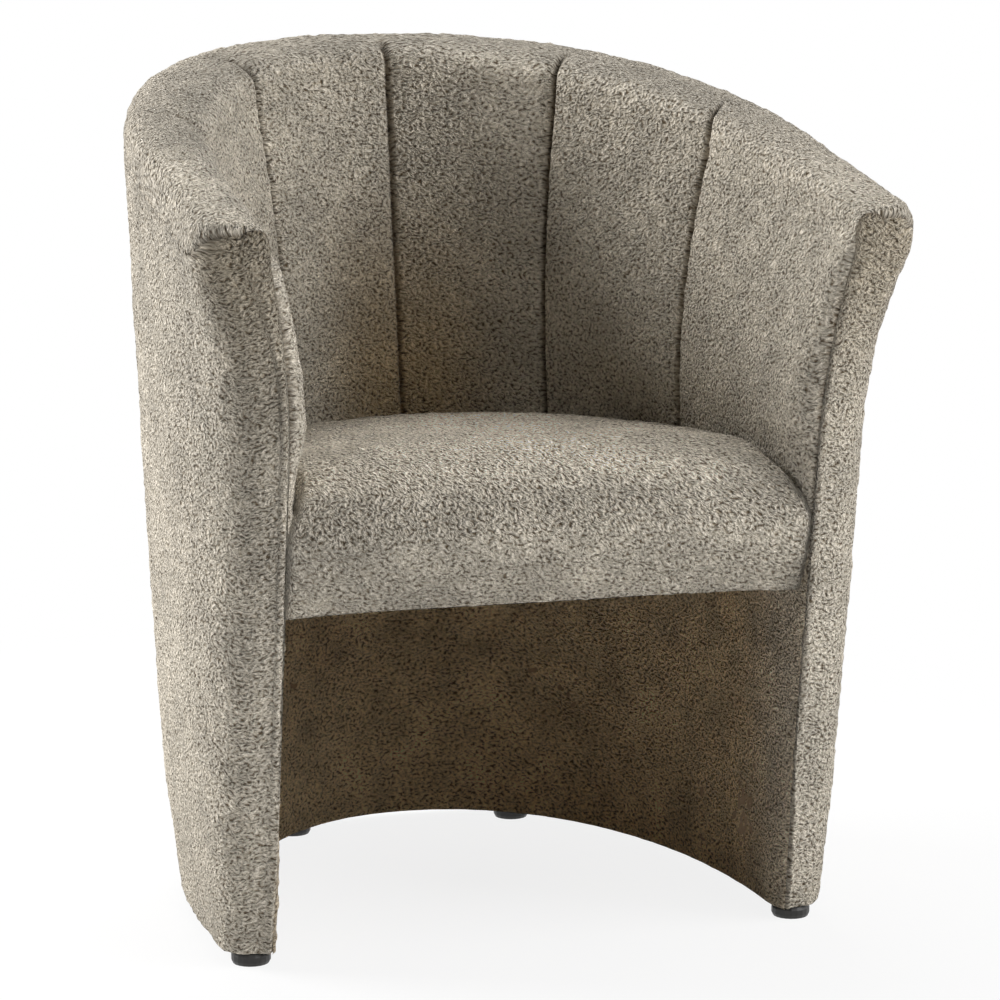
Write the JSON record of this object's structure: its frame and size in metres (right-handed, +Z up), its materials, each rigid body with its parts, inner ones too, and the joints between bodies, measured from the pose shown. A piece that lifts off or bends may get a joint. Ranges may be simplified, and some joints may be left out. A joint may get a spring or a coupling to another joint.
{
  "type": "club armchair",
  "caption": "Tub armchair with a curved padded back that slopes down into upright arms, a sprung seat between them and fabric walls down to short black glides.",
  "frame": {"origin": "on the floor, under the middle of the chair's overall width and depth", "axes": "+Z up, -Y towards the open front of the seat, +X to the right of a viewer who faces the front"},
  "size_m": [0.6286, 0.6323, 0.7697],
  "materials": {
    "loop_fabric": "looped wool-like upholstery in a warm grey",
    "foam": "cut foam and wadding",
    "felt": "grey needle felt",
    "wood": "raw plywood and sawn beech",
    "hardboard": "smooth brown hardboard",
    "steel": "zinc plated",
    "black_cloth": "matt non-woven cloth",
    "black_plastic": "satin black"
  },
  "bodies": {
    "root": {"outer_cover": "loop_fabric", "inner_cover": "loop_fabric", "lining_cover": "loop_fabric", "seat_cover": "loop_fabric", "wall_wadding": "foam", "back_foam": "foam", "seat_foam": "foam", "spring_felt": "felt", "left_front_post": "wood", "right_front_post": "wood", "base_ring": "wood", "seat_rib": "wood", "top_rail": "wood", "lower_side_strut_left": "wood", "lower_side_strut_right": "wood", "upper_side_strut_left": "wood", "upper_side_strut_right": "wood", "lower_back_strut_left": "wood", "lower_back_strut_right": "wood", "upper_back_strut_left": "wood", "upper_back_strut_right": "wood", "seat_ring": "wood", "seat_front_rail": "wood", "seat_corner_block_left": "wood", "seat_corner_block_right": "wood", "seat_spacer_front_left": "wood", "seat_spacer_front_right": "wood", "seat_spacer_back_left": "wood", "seat_spacer_back_right": "wood", "outer_panel": "hardboard", "inner_panel": "hardboard", "lining_panel": "hardboard", "seat_spring_1": "steel", "seat_spring_2": "steel", "seat_spring_3": "steel", "seat_spring_4": "steel", "spring_clip_front_1": "steel", "spring_clip_front_2": "steel", "spring_clip_front_3": "steel", "spring_clip_front_4": "steel", "spring_clip_back_1": "steel", "spring_clip_back_2": "steel", "spring_clip_back_3": "steel", "spring_clip_back_4": "steel", "seat_bolt_front_left": "steel", "seat_bolt_front_right": "steel", "seat_bolt_back_left": "steel", "seat_bolt_back_right": "steel", "front_glide_screw_left": "steel", "front_glide_screw_right": "steel", "back_glide_screw_left": "steel", "back_glide_screw_right": "steel", "dust_cover": "black_cloth", "bottom_strip": "black_cloth", "front_glide_left": "black_plastic", "front_glide_right": "black_plastic", "back_glide_left": "black_plastic", "back_glide_right": "black_plastic"}
  },
  "joints": []
}
